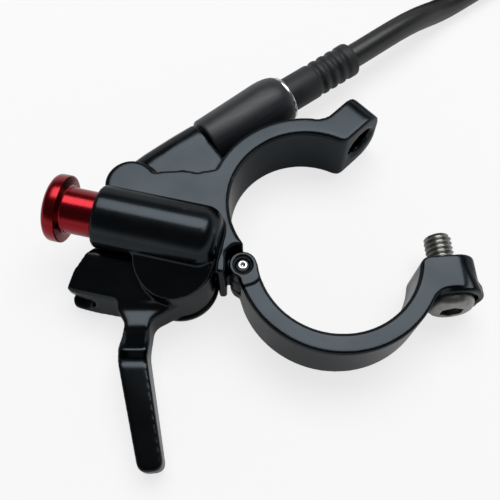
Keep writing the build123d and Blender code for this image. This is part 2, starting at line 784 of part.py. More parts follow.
def wire_tail():
    """Bare end of the inner wire."""
    return tail_frame() * rod(wire_d / 2, 0, tail_wire_len)


def wire_tip():
    """Crimped cap on the wire's end."""
    return tail_frame() * turned((0, tail_wire_len), (tip_r * 0.8, tail_wire_len),
                                 (tip_r, tail_wire_len + 0.5), (tip_r, tail_wire_len + tip_len, 0.5),
                                 (0, tail_wire_len + tip_len))


def main():
    os.makedirs("parts", exist_ok=True)
    nodes = {
        "lever_body": lever_body(),
        "clamp_strap": clamp_strap(),
        "hinge_pin": hinge_pin(),
        "clamp_bolt": clamp_bolt(),
        "lever_blade": lever_blade(),
        "pivot_bolt": pivot_bolt(),
        "pivot_bushing_upper": pivot_bushing_upper(),
        "pivot_bushing_lower": pivot_bushing_lower(),
        "return_spring": return_spring(),
        "cable_nipple": cable_nipple(),
        "inner_wire": inner_wire(),
        "cable_guide": cable_guide(),
        "release_button": release_button(),
        "button_stem": button_stem(),
        "button_spring": button_spring(),
        "stop_pin": stop_pin(),
        "barrel_adjuster": barrel_adjuster(),
        "adjuster_ring": adjuster_ring(),
        "adjuster_screw": adjuster_screw(),
        "housing_ferrule": housing_ferrule(),
        "ferrule_boot": ferrule_boot(),
        "cable_housing": cable_housing(),
        "cable_coil": cable_coil(),
        "end_ferrule": end_ferrule(),
        "wire_tail": wire_tail(),
        "wire_tip": wire_tip(),
    }
    for name, shape in nodes.items():
        export_step(shape, "parts/" + name + ".step")
    points = cord_corners()
    print("cable radii", [round(r, 1) for r in arc_radii(points)], [round(r, 1) for r in arc_radii(tail_corners())])
    path = FilletPolyline(*points, radius=arc_radii(points))
    section = math.pi * (housing_d / 2) ** 2
    print("cable volume", round(nodes["cable_housing"].volume, 2), "section times length", round(section * path.length, 2))


if __name__ == "__main__":
    main()
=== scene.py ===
import math

import bpy
from mathutils import Matrix, Vector


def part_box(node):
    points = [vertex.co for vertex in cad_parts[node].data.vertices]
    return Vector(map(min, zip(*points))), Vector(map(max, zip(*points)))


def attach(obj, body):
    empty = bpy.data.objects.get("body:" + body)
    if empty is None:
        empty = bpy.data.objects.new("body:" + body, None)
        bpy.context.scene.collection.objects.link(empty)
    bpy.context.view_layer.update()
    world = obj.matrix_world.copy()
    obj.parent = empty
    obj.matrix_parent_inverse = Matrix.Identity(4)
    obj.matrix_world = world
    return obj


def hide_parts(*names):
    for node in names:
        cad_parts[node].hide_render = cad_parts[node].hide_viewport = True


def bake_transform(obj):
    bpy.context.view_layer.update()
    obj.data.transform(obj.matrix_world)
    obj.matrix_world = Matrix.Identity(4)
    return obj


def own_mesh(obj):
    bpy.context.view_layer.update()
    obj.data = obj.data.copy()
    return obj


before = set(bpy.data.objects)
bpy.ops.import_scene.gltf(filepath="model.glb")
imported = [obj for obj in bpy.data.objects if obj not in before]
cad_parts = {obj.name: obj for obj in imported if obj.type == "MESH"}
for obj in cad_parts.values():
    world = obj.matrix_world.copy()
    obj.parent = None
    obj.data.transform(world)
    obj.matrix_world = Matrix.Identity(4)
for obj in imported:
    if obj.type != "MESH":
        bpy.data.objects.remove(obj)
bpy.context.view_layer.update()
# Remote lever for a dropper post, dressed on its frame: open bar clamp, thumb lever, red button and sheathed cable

bl_info = {
    "name": "Dropper Post Remote Lever",
    "version": (1, 0, 0),
    "blender": (4, 5, 0),
    "location": "3D View > Sidebar > Remote Lever",
    "description": "Dresses the frame of a dropper post remote lever with its finished pieces",
    "category": "Add Mesh",
}

MM = 0.001

# Places in the row frame, in millimetres
HINGE = (-9.13476, -9.45932, 0.0)
PIVOT = (-18.3, -9.1, 0.0)
BOLT_AT = (19.2059, -7.0175, 5.0)
BOLT_HEADING = (-0.0697565, 0.9975641, 0.0)
BUTTON_AT = (-17.5357, -5.73574, 11.5)
BUTTON_HEADING = (0.9751494, -0.2215485, 0.0)
CABLE_AT = (-10.973, 15.3269, 4.9)
CABLE_HEADING = (0.8131008, 0.582123, 0.0)

# Route of the cable: along the cable's line, to its side, and height of the middle, in metres
ROUTE = [(0.0026, 0.0, 0.0049), (0.024, 0.0, 0.0049), (0.037, 0.0003, 0.00485), (0.0455, 0.0006, 0.00205),
         (0.0515, 0.0006, 0.00205)]
# Where the coil begins along the cable's line, and the cord's last points: way past the coil, and height
COIL_ALONG = 0.0675
TAIL = [(0.0, 0.00585), (0.012, 0.00585), (0.026, 0.0025), (0.034, 0.0025)]

# Camera: its place in millimetres, its direction and its lens
CAMERA_AT = (-8.064, -42.853, 91.014)
CAMERA_HEADING = (-0.0009, 0.399, -0.917)
CAMERA_LENS = 46.8

# Softbox over the part: its place and its sides in metres, and its power in watts
SOFTBOX_AT = (0.06, 0.26, 0.62)
SOFTBOX_SIDES = (0.64, 0.42)
SOFTBOX_POWER = 4.1

# How far the floor shows as plain white, seen straight and in a reflection
SEEN_WHITE = 0.75
MIRRORED_WHITE = 0.3


class RemoteSizes(bpy.types.PropertyGroup):
    """Sizes of the finished pieces"""
    body_grid: bpy.props.FloatProperty(
        name="Body grid", description="Mesh size of the forged body's skin",
        default=0.24 * MM, min=0.1 * MM, max=1 * MM, subtype="DISTANCE", unit="LENGTH", precision=6)
    fine_grid: bpy.props.FloatProperty(
        name="Fine grid", description="Mesh size of the strap's and the lever's skin",
        default=0.192 * MM, min=0.1 * MM, max=1 * MM, subtype="DISTANCE", unit="LENGTH", precision=6)
    body_softness: bpy.props.IntProperty(
        name="Body softness", description="Passes that soften the edges of the body", default=7, min=0, max=40)
    strap_softness: bpy.props.IntProperty(
        name="Strap softness", description="Passes that soften the edges of the strap", default=10, min=0, max=40)
    lever_softness: bpy.props.IntProperty(
        name="Lever softness", description="Passes that soften the edges of the lever", default=21, min=0, max=40)
    thread_pitch: bpy.props.FloatProperty(
        name="Thread pitch", description="Pitch of the clamp bolt's thread",
        default=0.7 * MM, min=0.3 * MM, max=1.5 * MM, subtype="DISTANCE", unit="LENGTH", precision=6)
    thread_depth: bpy.props.FloatProperty(
        name="Thread depth", description="Depth of the clamp bolt's thread",
        default=0.42 * MM, min=0.1 * MM, max=1 * MM, subtype="DISTANCE", unit="LENGTH", precision=6)
    hex_width: bpy.props.FloatProperty(
        name="Hex width", description="Width across the flats of the clamp bolt's socket",
        default=3.0 * MM, min=1 * MM, max=6 * MM, subtype="DISTANCE", unit="LENGTH", precision=6)
    cord_diameter: bpy.props.FloatProperty(
        name="Housing diameter", description="Diameter of the cable housing",
        default=4.0 * MM, min=1 * MM, max=8 * MM, subtype="DISTANCE", unit="LENGTH", precision=6)
    coil_radius: bpy.props.FloatProperty(
        name="Coil radius", description="Radius of the coil's outer turn, at the middle of the housing",
        default=28.0 * MM, min=10 * MM, max=80 * MM, subtype="DISTANCE", unit="LENGTH", precision=6)


class RemoteColours(bpy.types.PropertyGroup):
    """Colours of the finishes, as sRGB hex values"""
    forging: bpy.props.StringProperty(
        name="Forging", description="Black anodised forging", default="2a2e31")
    # Lighter colour of convex edges: rubbed wear, and a painted edge highlight
    worn: bpy.props.StringProperty(
        name="Worn edges", description="Forging where its edges are rubbed", default="4a4d50")
    button: bpy.props.StringProperty(
        name="Button", description="Red anodised button", default="7d0d17")
    bright: bpy.props.StringProperty(
        name="Bright parts", description="Bright turned aluminium", default="d2d4d6")
    zinc: bpy.props.StringProperty(
        name="Bolt", description="Zinc plated steel", default="8b8c88")
    sleeve: bpy.props.StringProperty(
        name="Adjuster", description="Satin black adjuster sleeve", default="1a1e23")
    boot: bpy.props.StringProperty(
        name="Boot", description="Black rubber boot", default="16191d")
    housing: bpy.props.StringProperty(
        name="Cable housing", description="Black plastic sheath of the cable housing", default="131415")
    floor: bpy.props.StringProperty(
        name="Floor", description="Pale studio floor", default="f6f6f6")


# ---------------------------------------------------------------- frames and selection

def placed(foot, heading):
    """Matrix that stands a piece made along +Z on its foot, in millimetres, and turns it along its heading."""
    turn = Vector(heading).to_track_quat("Z", "Y").to_matrix().to_4x4()
    return Matrix.Translation(Vector(foot) * MM) @ turn


def cable_point(along, side, height):
    """Point of the row frame, in metres, given along the cable's line and to its side."""
    heading = Vector(CABLE_HEADING)
    left = Vector((-heading.y, heading.x, 0))
    point = Vector(CABLE_AT) * MM + heading * along + left * side
    return Vector((point.x, point.y, height))


def eased(share):
    """A share from 0 to 1 that starts and ends gently."""
    share = min(1.0, max(0.0, share))
    return share * share * (3 - 2 * share)


def only(piece):
    """Makes the piece the one thing that operators act on."""
    if bpy.context.object and bpy.context.object.mode != "OBJECT":
        bpy.ops.object.mode_set(mode="OBJECT")
    bpy.ops.object.select_all(action="DESELECT")
    piece.select_set(True)
    bpy.context.view_layer.objects.active = piece


def apply_modifier(piece, kind, **settings):
    """Adds a modifier with its settings and applies it."""
    only(piece)
    modifier = piece.modifiers.new(kind.title(), kind)
    for key, value in settings.items():
        setattr(modifier, key, value)
    bpy.ops.object.modifier_apply(modifier=modifier.name)


def select_vertices(piece, wanted):
    """Selects, in edit mode, the vertices whose place answers to a test."""
    bpy.ops.object.mode_set(mode="OBJECT")
    for kind in (piece.data.vertices, piece.data.edges, piece.data.polygons):
        kind.foreach_set("select", [False] * len(kind))
    for vertex in piece.data.vertices:
        vertex.select = wanted(vertex.co)
    bpy.ops.object.mode_set(mode="EDIT")
    bpy.ops.mesh.select_mode(type="VERT")


def mend_normals(piece):
    """Merges doubles and turns every face outwards."""
    only(piece)
    bpy.ops.object.mode_set(mode="EDIT")
    bpy.ops.mesh.select_all(action="SELECT")
    bpy.ops.mesh.remove_doubles(threshold=1e-6)
    bpy.ops.mesh.normals_make_consistent(inside=False)
    bpy.ops.object.mode_set(mode="OBJECT")


def shade(piece, angle):
    """Smooths the shading, but not over edges sharper than the angle."""
    only(piece)
    bpy.ops.object.shade_smooth_by_angle(angle=math.radians(angle))


def stand(piece, place):
    """Puts a piece made about the origin in its place, with the place in its mesh."""
    only(piece)
    bpy.ops.object.transform_apply(location=True, rotation=True, scale=True)
    piece.matrix_world = place
    bpy.ops.object.transform_apply(location=True, rotation=True, scale=True)


# ---------------------------------------------------------------- modelling

def turned_piece(name, profile, facets=96, closed=False):
    """A ring at the profile's first corner, extruded and scaled from corner to corner, as on a lathe.
    Corners are radius and height in millimetres. A closed profile goes round a bore."""
    bpy.ops.object.select_all(action="DESELECT")
    radius, height = profile[0]
    bpy.ops.mesh.primitive_circle_add(vertices=facets, radius=radius * MM, location=(0, 0, height * MM),
                                      fill_type="NOTHING" if closed else "NGON")
    piece = bpy.context.object
    piece.name = piece.data.name = name
    bpy.ops.object.mode_set(mode="EDIT")
    bpy.ops.mesh.select_all(action="SELECT")
    corners = profile[1:] + profile[:1] if closed else profile[1:]
    for next_r, next_z in corners:
        step = {"value": (0, 0, (next_z - height) * MM)}
        if closed:
            bpy.ops.mesh.extrude_edges_move(TRANSFORM_OT_translate=step)
        else:
            bpy.ops.mesh.extrude_region_move(TRANSFORM_OT_translate=step)
        grow = next_r / radius
        bpy.ops.transform.resize(value=(grow, grow, 1), center_override=(0, 0, next_z * MM))
        radius, height = next_r, next_z
    bpy.ops.object.mode_set(mode="OBJECT")
    bpy.ops.object.transform_apply(location=True, rotation=True, scale=True)
    mend_normals(piece)
    return piece


def prism(name, corners, bottom, top):
    """A flat outline in millimetres, drawn up from bottom to top."""
    bpy.ops.object.select_all(action="DESELECT")
    bpy.ops.mesh.primitive_circle_add(vertices=len(corners), radius=MM, fill_type="NGON")
    piece = bpy.context.object
    piece.name = piece.data.name = name
    for vertex, (x, y) in zip(piece.data.vertices, corners):
        vertex.co = Vector((x, y, bottom)) * MM
    bpy.ops.object.mode_set(mode="EDIT")
    bpy.ops.mesh.select_all(action="SELECT")
    bpy.ops.mesh.extrude_region_move(TRANSFORM_OT_translate={"value": (0, 0, (top - bottom) * MM)})
    bpy.ops.object.mode_set(mode="OBJECT")
    mend_normals(piece)
    return piece


def block(name, corners):
    """A block with eight corners in millimetres: the lower four in order round it, then the upper four."""
    bpy.ops.object.select_all(action="DESELECT")
    bpy.ops.mesh.primitive_plane_add(size=MM)
    piece = bpy.context.object
    piece.name = piece.data.name = name
    bpy.ops.object.mode_set(mode="EDIT")
    bpy.ops.mesh.select_all(action="SELECT")
    bpy.ops.mesh.extrude_region_move(TRANSFORM_OT_translate={"value": (0, 0, MM)})
    bpy.ops.object.mode_set(mode="OBJECT")
    order = sorted(piece.data.vertices, key=lambda v: (v.co.z, math.atan2(v.co.y, v.co.x)))
    for vertex, corner in zip(order, corners):
        vertex.co = Vector(corner) * MM
    mend_normals(piece)
    return piece


def cut_away(piece, cutter):
    """Cuts the shape of the cutter out of the piece and removes the cutter."""
    apply_modifier(piece, "BOOLEAN", operation="DIFFERENCE", solver="EXACT", object=cutter)
    bpy.data.objects.remove(cutter)


def add_hex_socket(piece, rim_r, height, across, depth):
    """Sinks a hexagonal socket in the piece's end face, which is a ring of the rim's radius."""
    only(piece)
    bpy.ops.object.mode_set(mode="EDIT")
    bpy.ops.mesh.select_mode(type="FACE")
    bpy.ops.mesh.select_all(action="DESELECT")
    bpy.ops.object.mode_set(mode="OBJECT")
    for face in piece.data.polygons:
        face.select = len(face.vertices) > 8 and abs(face.center.z - height * MM) < 1e-6
    bpy.ops.object.mode_set(mode="EDIT")
    bpy.ops.mesh.delete(type="ONLY_FACE")
    bpy.ops.mesh.primitive_circle_add(vertices=6, radius=across / math.sqrt(3), fill_type="NOTHING",
                                      location=(0, 0, height * MM))
    flat = across / math.sqrt(3) + 1e-5
    rim = rim_r * MM + 1e-5
    select_vertices(piece, lambda co: abs(co.z - height * MM) < 1e-6 and co.xy.length < rim)
    bpy.ops.mesh.bridge_edge_loops()
    select_vertices(piece, lambda co: abs(co.z - height * MM) < 1e-6 and co.xy.length < flat)
    sign = 1 if height < 0 else -1
    bpy.ops.mesh.extrude_edges_move(TRANSFORM_OT_translate={"value": (0, 0, sign * depth * MM)})
    bpy.ops.mesh.edge_face_add()
    # The socket's floor sinks to a flat middle
    bpy.ops.mesh.inset(thickness=across * 0.12, depth=0)
    bpy.ops.mesh.inset(thickness=across * 0.2, depth=-across * 0.12)
    bpy.ops.object.mode_set(mode="OBJECT")
    mend_normals(piece)


def thread(name, pitch, crest_r, root_r, bottom, top):
    """A helical thread: the outline of one tooth, screwed along the axis and cut off square at both ends."""
    bpy.ops.object.select_all(action="DESELECT")
    bpy.ops.mesh.primitive_plane_add(size=pitch, location=(root_r, 0, bottom - pitch))
    piece = bpy.context.object
    piece.name = piece.data.name = name
    bpy.ops.object.mode_set(mode="EDIT")
    bpy.ops.mesh.select_all(action="SELECT")
    bpy.ops.mesh.merge(type="CENTER")
    rise = crest_r - root_r
    # Root, flank, crest, flank and root of one tooth: way outwards, and shares of the pitch along the axis
    for out, up in ((0, 0.12), (rise, 0.36), (0, 0.08), (-rise, 0.36), (0, 0.08)):
        bpy.ops.mesh.extrude_vertices_move(TRANSFORM_OT_translate={"value": (out, 0, up * pitch)})
    bpy.ops.object.mode_set(mode="OBJECT")
    bpy.ops.object.transform_apply(location=True, rotation=True, scale=True)
    turns = math.ceil((top - bottom) / pitch) + 2
    apply_modifier(piece, "SCREW", axis="Z", angle=2 * math.pi, screw_offset=pitch, iterations=turns, steps=40,
                   render_steps=40, use_merge_vertices=True, merge_threshold=1e-6)
    mend_normals(piece)
    for height, clear in ((bottom, "clear_inner"), (top, "clear_outer")):
        bpy.ops.object.mode_set(mode="EDIT")
        bpy.ops.mesh.select_all(action="SELECT")
        bpy.ops.mesh.bisect(plane_co=(0, 0, height), plane_no=(0, 0, 1), use_fill=True, **{clear: True})
        bpy.ops.object.mode_set(mode="OBJECT")
    # The last turn tapers off towards the tip
    bevel = 0.6 * rise
    for vertex in piece.data.vertices:
        reach = vertex.co.xy.length
        limit = crest_r - max(0, vertex.co.z - (top - bevel))
        if reach > limit:
            vertex.co.x *= limit / reach
            vertex.co.y *= limit / reach
    mend_normals(piece)
    return piece


def merged_copy(node, name):
    """A copy of a CAD node's shape with its loose triangles merged."""
    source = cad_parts[node]
    piece = bpy.data.objects.new(name, source.data.copy())
    piece.data.name = name
    bpy.context.scene.collection.objects.link(piece)
    piece.data.materials.clear()
    only(piece)
    bpy.ops.object.mode_set(mode="EDIT")
    bpy.ops.mesh.select_all(action="SELECT")
    bpy.ops.mesh.remove_doubles(threshold=1e-6)
    bpy.ops.mesh.customdata_custom_splitnormals_clear()
    bpy.ops.object.mode_set(mode="OBJECT")
    return piece


def join(piece, *others):
    """Adds other meshes to the piece."""
    bpy.ops.object.select_all(action="DESELECT")
    for other in others:
        other.select_set(True)
    piece.select_set(True)
    bpy.context.view_layer.objects.active = piece
    bpy.ops.object.join()


def forged_copy(node, name, grid, passes, volumes=(), cutters=()):
    """The node's shape and the volumes as one skin, with edges and inner corners softened as by forging."""
    piece = merged_copy(node, name)
    for cutter in cutters:
        cut_away(piece, cutter)
    join(piece, *volumes)
    apply_modifier(piece, "REMESH", mode="VOXEL", voxel_size=grid, adaptivity=0.0)
    apply_modifier(piece, "SMOOTH", factor=0.5, iterations=passes)
    only(piece)
    bpy.ops.object.shade_smooth()
    return piece


def finish_piece(piece, body, slot, material, *nodes):
    """Gives the piece its material and its body, and hides the nodes that it stands for."""
    piece.data.materials.clear()
    piece.data.materials.append(material)
    if nodes:
        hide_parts(*nodes)
    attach(piece, body)


def dress_node(node, material):
    """Gives a CAD node that stays its finish."""
    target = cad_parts[node]
    if target.material_slots:
        target.material_slots[0].material = material
    else:
        target.data.materials.append(material)


# ---------------------------------------------------------------- materials

def colour(code):
    """Linear colour from an sRGB hex value."""
    channels = [int(code[i:i + 2], 16) / 255 for i in (0, 2, 4)]
    return [c / 12.92 if c <= 0.04045 else ((c + 0.055) / 1.055) ** 2.4 for c in channels] + [1.0]


def add_node(tree, kind, feed=None, **settings):
    """Adds a node with its settings. feed holds values, or the outputs that feed it, by input."""
    node = tree.nodes.new(kind)
    for key, value in settings.items():
        setattr(node, key, value)
    for key, value in (feed or {}).items():
        if isinstance(value, bpy.types.NodeSocket):
            tree.links.new(value, node.inputs[key])
        else:
            node.inputs[key].default_value = value
    return node


def new_material(name, **shader):
    """Material with one Principled shader. Returns the material, its tree and the shader."""
    material = bpy.data.materials.new(name)
    material.use_nodes = True
    tree = material.node_tree
    tree.nodes.clear()
    surface = add_node(tree, "ShaderNodeBsdfPrincipled", {k.replace("_", " "): v for k, v in shader.items()})
    add_node(tree, "ShaderNodeOutputMaterial", {"Surface": surface.outputs["BSDF"]})
    return material, tree, surface


def millimetres(tree, foot=(0, 0, 0), heading=(0, 0, 1)):
    """Object coordinates in millimetres, seen from a foot and along a heading."""
    turn = Vector(heading).to_track_quat("Z", "Y").to_matrix().inverted()
    back = turn @ -Vector(foot)
    place = add_node(tree, "ShaderNodeTexCoord")
    return add_node(tree, "ShaderNodeMapping", {"Vector": place.outputs["Object"], "Location": back,
                                                "Rotation": turn.to_euler(), "Scale": (1000, 1000, 1000)},
                    vector_type="POINT").outputs["Vector"]


def noise(tree, vector, size, detail, roughness=0.5):
    """Noise whose lumps are about the given size in millimetres."""
    return add_node(tree, "ShaderNodeTexNoise", {"Vector": vector, "Scale": 1 / size, "Detail": detail,
                                                 "Roughness": roughness}).outputs["Fac"]


def between(tree, value, low, high):
    """A value from 0.3 to 0.7, as noise gives, spread from low to high."""
    return add_node(tree, "ShaderNodeMapRange", {"Value": value, "From Min": 0.3, "From Max": 0.7,
                                                 "To Min": low, "To Max": high}).outputs["Result"]


def tinted(tree, value, first, second):
    """Colour between two, by a value from 0.3 to 0.7."""
    ramp = add_node(tree, "ShaderNodeValToRGB", {"Fac": value})
    ramp.color_ramp.elements[0].position = 0.3
    ramp.color_ramp.elements[0].color = first
    ramp.color_ramp.elements[1].position = 0.7
    ramp.color_ramp.elements[1].color = second
    return ramp.outputs["Color"]


def shaded(base, factor):
    """The colour, lighter or darker."""
    return [c * factor for c in base[:3]] + [1.0]


def bump(tree, height, depth, strength):
    """Normal from a height pattern, whose depth is in millimetres."""
    return add_node(tree, "ShaderNodeBump", {"Height": height, "Distance": depth * MM,
                                             "Strength": strength}).outputs["Normal"]


def lathe_lines(tree, vector, pitch):
    """Rings about the axis, as a lathe tool leaves them on faces and walls."""
    parts = add_node(tree, "ShaderNodeSeparateXYZ", {"Vector": vector})
    square = [add_node(tree, "ShaderNodeMath", {0: parts.outputs[i], 1: parts.outputs[i]},
                       operation="MULTIPLY").outputs[0] for i in (0, 1)]
    total = add_node(tree, "ShaderNodeMath", {0: square[0], 1: square[1]}, operation="ADD").outputs[0]
    reach = add_node(tree, "ShaderNodeMath", {0: total}, operation="SQRT").outputs[0]
    rings = add_node(tree, "ShaderNodeCombineXYZ", {"X": reach, "Y": parts.outputs[2], "Z": 0.0}).outputs[0]
    return noise(tree, rings, pitch, 1.0)


def black_anodised_forging(colours):
    """Forged aluminium, blasted, dyed black and sealed: metal seen through dark dye, with soft reflections
    and a faint grain."""
    base = colour(colours.forging)
    material, tree, surface = new_material("black_anodised_forging", Metallic=1.0,
                                           Specular_Tint=(0.65, 0.65, 0.65, 1.0))
    place = millimetres(tree)
    cloud = noise(tree, place, 7.0, 3.0)
    # The blast's pits are about 0.1 mm wide; they are drawn at 0.35 mm so that they show
    grain = noise(tree, place, 0.35, 2.0)
    # Convex edges, found by pointiness, are painted lighter: partly rubbed wear, partly a painted edge highlight
    edge = add_node(tree, "ShaderNodeNewGeometry").outputs["Pointiness"]
    worn = add_node(tree, "ShaderNodeMapRange", {"Value": edge, "From Min": 0.53, "From Max": 0.6,
                                                 "To Min": 0.0, "To Max": 0.4}).outputs["Result"]
    body = tinted(tree, cloud, shaded(base, 0.85), shaded(base, 1.15))
    worn_and_highlit_mix = add_node(tree, "ShaderNodeMix", {"Factor": worn, 6: body, 7: colour(colours.worn)}, data_type="RGBA")
    tree.links.new(worn_and_highlit_mix.outputs[2], surface.inputs["Base Color"])
    tree.links.new(between(tree, cloud, 0.2, 0.27), surface.inputs["Roughness"])
    tree.links.new(bump(tree, grain, 0.005, 0.4), surface.inputs["Normal"])
    return material


def red_anodised_aluminium(colours):
    """Turned aluminium, dyed red: metal that shines through the dye, with the fine rings of the lathe tool."""
    base = colour(colours.button)
    material, tree, surface = new_material("red_anodised_aluminium", Metallic=1.0, Coat_Weight=0.2,
                                           Coat_Roughness=0.15)
    place = millimetres(tree, BUTTON_AT, BUTTON_HEADING)
    # The tool's rings stand 0.05 mm apart
    lines = lathe_lines(tree, place, 0.05)
    tree.links.new(tinted(tree, lines, shaded(base, 0.95), shaded(base, 1.1)), surface.inputs["Base Color"])
    tree.links.new(between(tree, lines, 0.2, 0.28), surface.inputs["Roughness"])
    tree.links.new(bump(tree, lines, 0.001, 0.3), surface.inputs["Normal"])
    return material


def bright_turned_aluminium(colours):
    """Turned aluminium left bright: clean silver with fine rings."""
    base = colour(colours.bright)
    material, tree, surface = new_material("bright_turned_aluminium", Metallic=1.0)
    lines = lathe_lines(tree, millimetres(tree, CABLE_AT, CABLE_HEADING), 0.1)
    tree.links.new(tinted(tree, lines, shaded(base, 0.9), base), surface.inputs["Base Color"])
    tree.links.new(between(tree, lines, 0.16, 0.28), surface.inputs["Roughness"])
    return material


def zinc_plated_steel(colours):
    """Rolled steel thread, zinc plated: grey-silver with a mottled sheen and small scuffs."""
    base = colour(colours.zinc)
    material, tree, surface = new_material("zinc_plated_steel", Metallic=1.0)
    place = millimetres(tree)
    cloud = noise(tree, place, 0.9, 4.0, 0.6)
    scuff = noise(tree, place, 0.15, 3.0, 0.7)
    tree.links.new(tinted(tree, cloud, shaded(base, 0.72), shaded(base, 1.05)), surface.inputs["Base Color"])
    tree.links.new(between(tree, scuff, 0.26, 0.46), surface.inputs["Roughness"])
    tree.links.new(bump(tree, scuff, 0.008, 0.5), surface.inputs["Normal"])
    return material


def drawn_stainless_steel(colours):
    """Drawn and polished stainless steel: bright, with streaks too fine to see singly."""
    material, tree, surface = new_material("drawn_stainless_steel", Metallic=1.0)
    streak = noise(tree, millimetres(tree), 0.25, 3.0)
    tree.links.new(tinted(tree, streak, colour("b9babc"), colour("d8d9da")), surface.inputs["Base Color"])
    tree.links.new(between(tree, streak, 0.14, 0.24), surface.inputs["Roughness"])
    return material


def stranded_steel_wire(colours):
    """Strands laid round each other: bright ridges that wind along the wire, drawn as colour bands that paint
    highlights on the ridges and shade in the grooves.
    """
    material, tree, surface = new_material("stranded_steel_wire", Metallic=1.0)
    place = millimetres(tree)
    # The strands of a 1.1 mm wire are about 0.2 mm thick
    lay_and_shade = add_node(tree, "ShaderNodeTexWave", {"Vector": place, "Scale": 0.8, "Distortion": 0.4},
                   wave_type="BANDS", bands_direction="DIAGONAL").outputs["Fac"]
    # The bands paint highlights on the ridges of the strands and shade in the grooves between them
    tree.links.new(tinted(tree, lay_and_shade, colour("8f9194"), colour("d0d1d2")), surface.inputs["Base Color"])
    tree.links.new(between(tree, lay_and_shade, 0.35, 0.22), surface.inputs["Roughness"])
    tree.links.new(bump(tree, lay_and_shade, 0.05, 0.7), surface.inputs["Normal"])
    return material


def black_oxide_steel(colours):
    """Machined steel, blackened in a hot bath: dark, slightly warm and oily."""
    material, tree, surface = new_material("black_oxide_steel", Metallic=0.6)
    place = millimetres(tree, PIVOT)
    lines = lathe_lines(tree, place, 0.15)
    cloud = noise(tree, place, 1.5, 3.0)
    tree.links.new(tinted(tree, cloud, colour("141414"), colour("232221")), surface.inputs["Base Color"])
    tree.links.new(between(tree, lines, 0.3, 0.42), surface.inputs["Roughness"])
    tree.links.new(bump(tree, lines, 0.004, 0.4), surface.inputs["Normal"])
    return material


def acetal_bearing_plastic(colours):
    """Moulded acetal: off-white grey, waxy and even."""
    material, tree, surface = new_material("acetal_bearing_plastic", Metallic=0.0, IOR=1.48)
    cloud = noise(tree, millimetres(tree), 1.2, 2.0)
    tree.links.new(tinted(tree, cloud, colour("8d8c89"), colour("9b9a96")), surface.inputs["Base Color"])
    tree.links.new(between(tree, cloud, 0.42, 0.52), surface.inputs["Roughness"])
    return material


def satin_black_sleeve(colours):
    """Moulded glass-filled nylon: satin black, with faint lighter and darker streaks along its axis."""
    base = colour(colours.sleeve)
    material, tree, surface = new_material("satin_black_sleeve", Metallic=0.0, IOR=1.52,
                                           Specular_IOR_Level=0.4)
    place = millimetres(tree, CABLE_AT, CABLE_HEADING)
    along = add_node(tree, "ShaderNodeMapping", {"Vector": place, "Scale": (1.0, 1.0, 0.06)}).outputs["Vector"]
    streak = noise(tree, along, 0.45, 3.0, 0.6)
    grain = noise(tree, place, 0.12, 2.0)
    tree.links.new(tinted(tree, streak, shaded(base, 0.8), shaded(base, 1.3)), surface.inputs["Base Color"])
    tree.links.new(between(tree, streak, 0.36, 0.48), surface.inputs["Roughness"])
    tree.links.new(bump(tree, grain, 0.01, 0.5), surface.inputs["Normal"])
    return material


def moulded_rubber_boot(colours):
    """Moulded rubber: dark grey, matt, with a dusty bloom."""
    base = colour(colours.boot)
    material, tree, surface = new_material("moulded_rubber_boot", Metallic=0.0, IOR=1.5,
                                           Specular_IOR_Level=0.4)
    place = millimetres(tree, CABLE_AT, CABLE_HEADING)
    bloom = noise(tree, place, 1.6, 3.0)
    grain = noise(tree, place, 0.1, 2.0)
    tree.links.new(tinted(tree, bloom, shaded(base, 0.8), shaded(base, 1.5)), surface.inputs["Base Color"])
    tree.links.new(between(tree, bloom, 0.48, 0.6), surface.inputs["Roughness"])
    tree.links.new(bump(tree, grain, 0.012, 0.5), surface.inputs["Normal"])
    return material


def extruded_housing_plastic(colours):
    """Extruded plastic sheath: black with a low sheen and the faint drag lines of the die."""
    base = colour(colours.housing)
    material, tree, surface = new_material("extruded_housing_plastic", Metallic=0.0, IOR=1.5,
                                           Specular_IOR_Level=0.5)
    place = millimetres(tree)
    bloom = noise(tree, place, 5.0, 3.0)
    grain = noise(tree, place, 0.18, 2.0)
    tree.links.new(tinted(tree, bloom, shaded(base, 0.85), shaded(base, 1.3)), surface.inputs["Base Color"])
    tree.links.new(between(tree, grain, 0.34, 0.44), surface.inputs["Roughness"])
    tree.links.new(bump(tree, grain, 0.008, 0.4), surface.inputs["Normal"])
    return material


def white_paper_floor(colours):
    """White background paper: even, matt, shown as the white it is, with the object's shadow on it."""
    material, tree, surface = new_material("white_paper_floor", Roughness=0.9, Specular_IOR_Level=0.1)
    fibre = noise(tree, millimetres(tree), 3.0, 3.0)
    white = colour(colours.floor)
    tree.links.new(tinted(tree, fibre, shaded(white, 0.99), white), surface.inputs["Base Color"])
    seen = add_node(tree, "ShaderNodeLightPath")
    mirrored = add_node(tree, "ShaderNodeMath", {0: seen.outputs["Is Glossy Ray"],
                                                 1: seen.outputs["Is Transmission Ray"]},
                        operation="MAXIMUM").outputs[0]
    direct = add_node(tree, "ShaderNodeMath", {0: seen.outputs["Is Camera Ray"], 1: SEEN_WHITE},
                      operation="MULTIPLY").outputs[0]
    share = add_node(tree, "ShaderNodeMath", {0: mirrored, 1: MIRRORED_WHITE, 2: direct},
                     operation="MULTIPLY_ADD").outputs[0]
    glow = add_node(tree, "ShaderNodeEmission", {"Color": (1, 1, 1, 1), "Strength": 1.0})
    mixed = add_node(tree, "ShaderNodeMixShader", {0: share, 1: surface.outputs[0], 2: glow.outputs[0]})
    output = next(n for n in tree.nodes if n.bl_idname == "ShaderNodeOutputMaterial")
    tree.links.new(mixed.outputs[0], output.inputs["Surface"])
    return material


def finish_named(maker):
    """The material that a function makes, made once."""
    return bpy.data.materials.get(maker.__name__) or maker(bpy.context.scene.remote_colours)


# ---------------------------------------------------------------- operators

